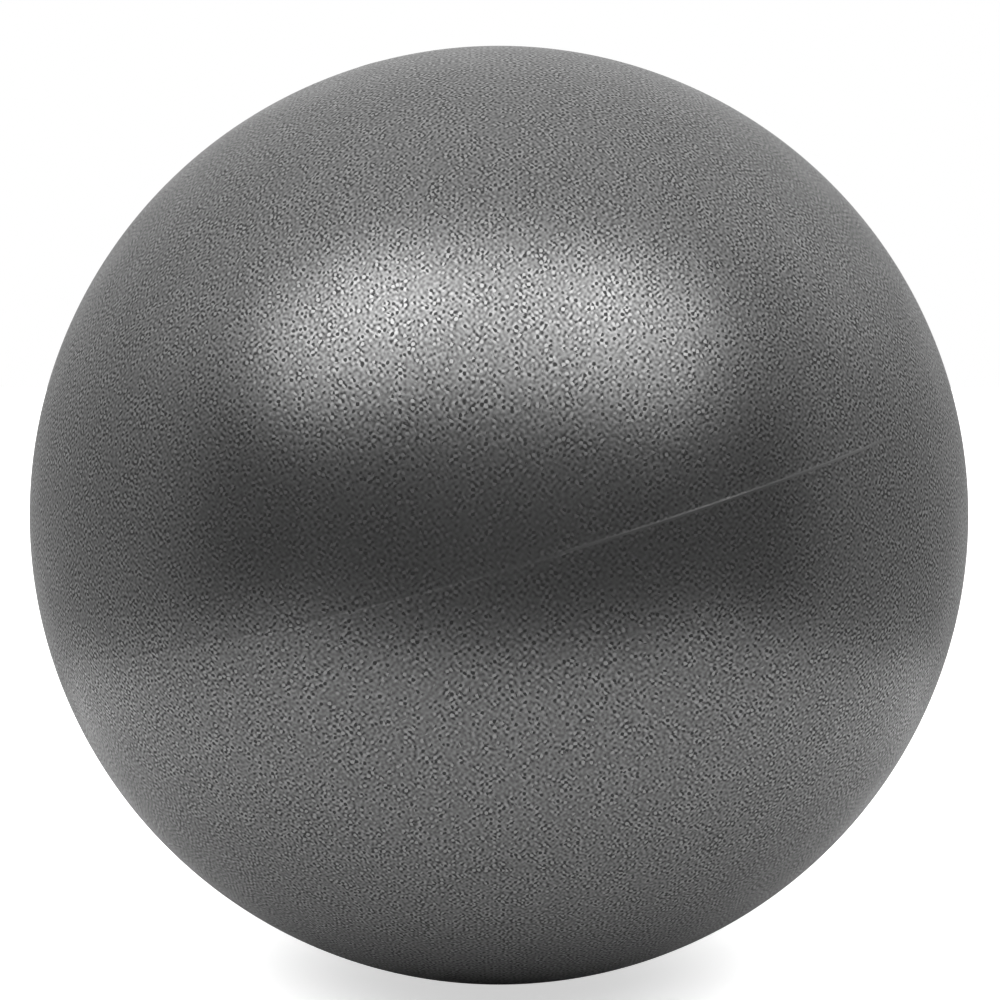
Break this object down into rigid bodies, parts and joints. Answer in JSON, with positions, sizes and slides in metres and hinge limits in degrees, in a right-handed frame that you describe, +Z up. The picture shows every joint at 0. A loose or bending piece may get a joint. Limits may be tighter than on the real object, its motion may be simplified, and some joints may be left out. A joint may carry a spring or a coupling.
{
  "type": "exercise ball",
  "caption": "Small inflatable exercise ball with a fine pebbled grain, a moulded parting line and a pull-out valve plug.",
  "frame": {"origin": "centre of the ball", "axes": "+Z up as the ball lies on the floor, -Y towards the viewer. The moulding axis, through the valve, is tipped 16 degrees from +Z towards -X, so the parting line drops towards -X."},
  "size_m": [0.23, 0.2302, 0.23],
  "materials": {
    "shell_pvc": "satin",
    "seat_pvc": "satin",
    "plug_plastic": "satin"
  },
  "bodies": {
    "ball": {"ball_shell": "shell_pvc", "valve_seat": "seat_pvc"},
    "plug": {"valve_plug": "plug_plastic"}
  },
  "joints": [
    {"name": "plug_pull", "type": "slide", "parent": "ball", "child": "plug", "axis": [-0.2756, 0, 0.9613], "range_m": [0, 0.028]}
  ]
}
